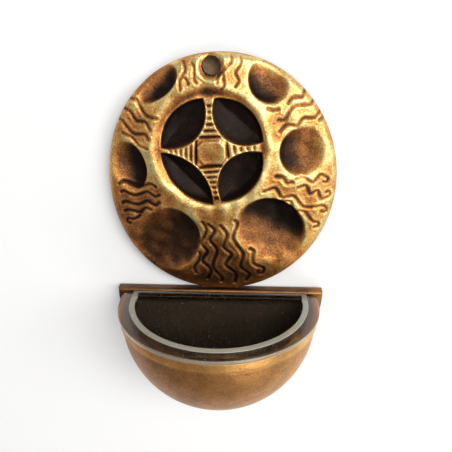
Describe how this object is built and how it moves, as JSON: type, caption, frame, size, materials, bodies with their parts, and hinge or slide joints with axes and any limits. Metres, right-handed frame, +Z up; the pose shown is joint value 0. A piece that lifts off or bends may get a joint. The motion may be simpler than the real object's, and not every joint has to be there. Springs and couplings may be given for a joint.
{
  "type": "holy water stoup",
  "caption": "Wall-hung holy water stoup: a domed cast bronze relief disc with a ringed cross over a half-round bowl with a clear lift-out liner.",
  "frame": {"origin": "middle of the hanging hole, where it meets the wall", "axes": "+Z up, +Y into the wall, +X to the right as seen from the room; the wall is the plane Y = 0"},
  "size_m": [0.0758, 0.0453, 0.1197],
  "materials": {
    "relief_bronze": "sand-cast bronze, dark patina in the hollows, rubbed bright on the high places",
    "plate_bronze": "cast bronze, brown patina, edges rubbed bright",
    "bowl_bronze": "cast bronze, mottled brown patina",
    "clear_liner": "clear moulded plastic, slightly clouded",
    "strap_brass": "rolled brass strip, dull",
    "screw_steel": "zinc-plated steel"
  },
  "bodies": {
    "stoup": {"relief_disc": "relief_bronze", "back_plate": "plate_bronze", "bowl": "bowl_bronze", "joining_strap": "strap_brass", "disc_screws": "screw_steel", "plate_screws": "screw_steel", "bowl_screws": "screw_steel"},
    "lift_out_liner": {"liner": "clear_liner"}
  },
  "joints": [
    {"name": "liner_lift", "type": "slide", "parent": "stoup", "child": "lift_out_liner", "axis": [0, -0.2079, 0.9781], "range_m": [0, 0.045]}
  ]
}
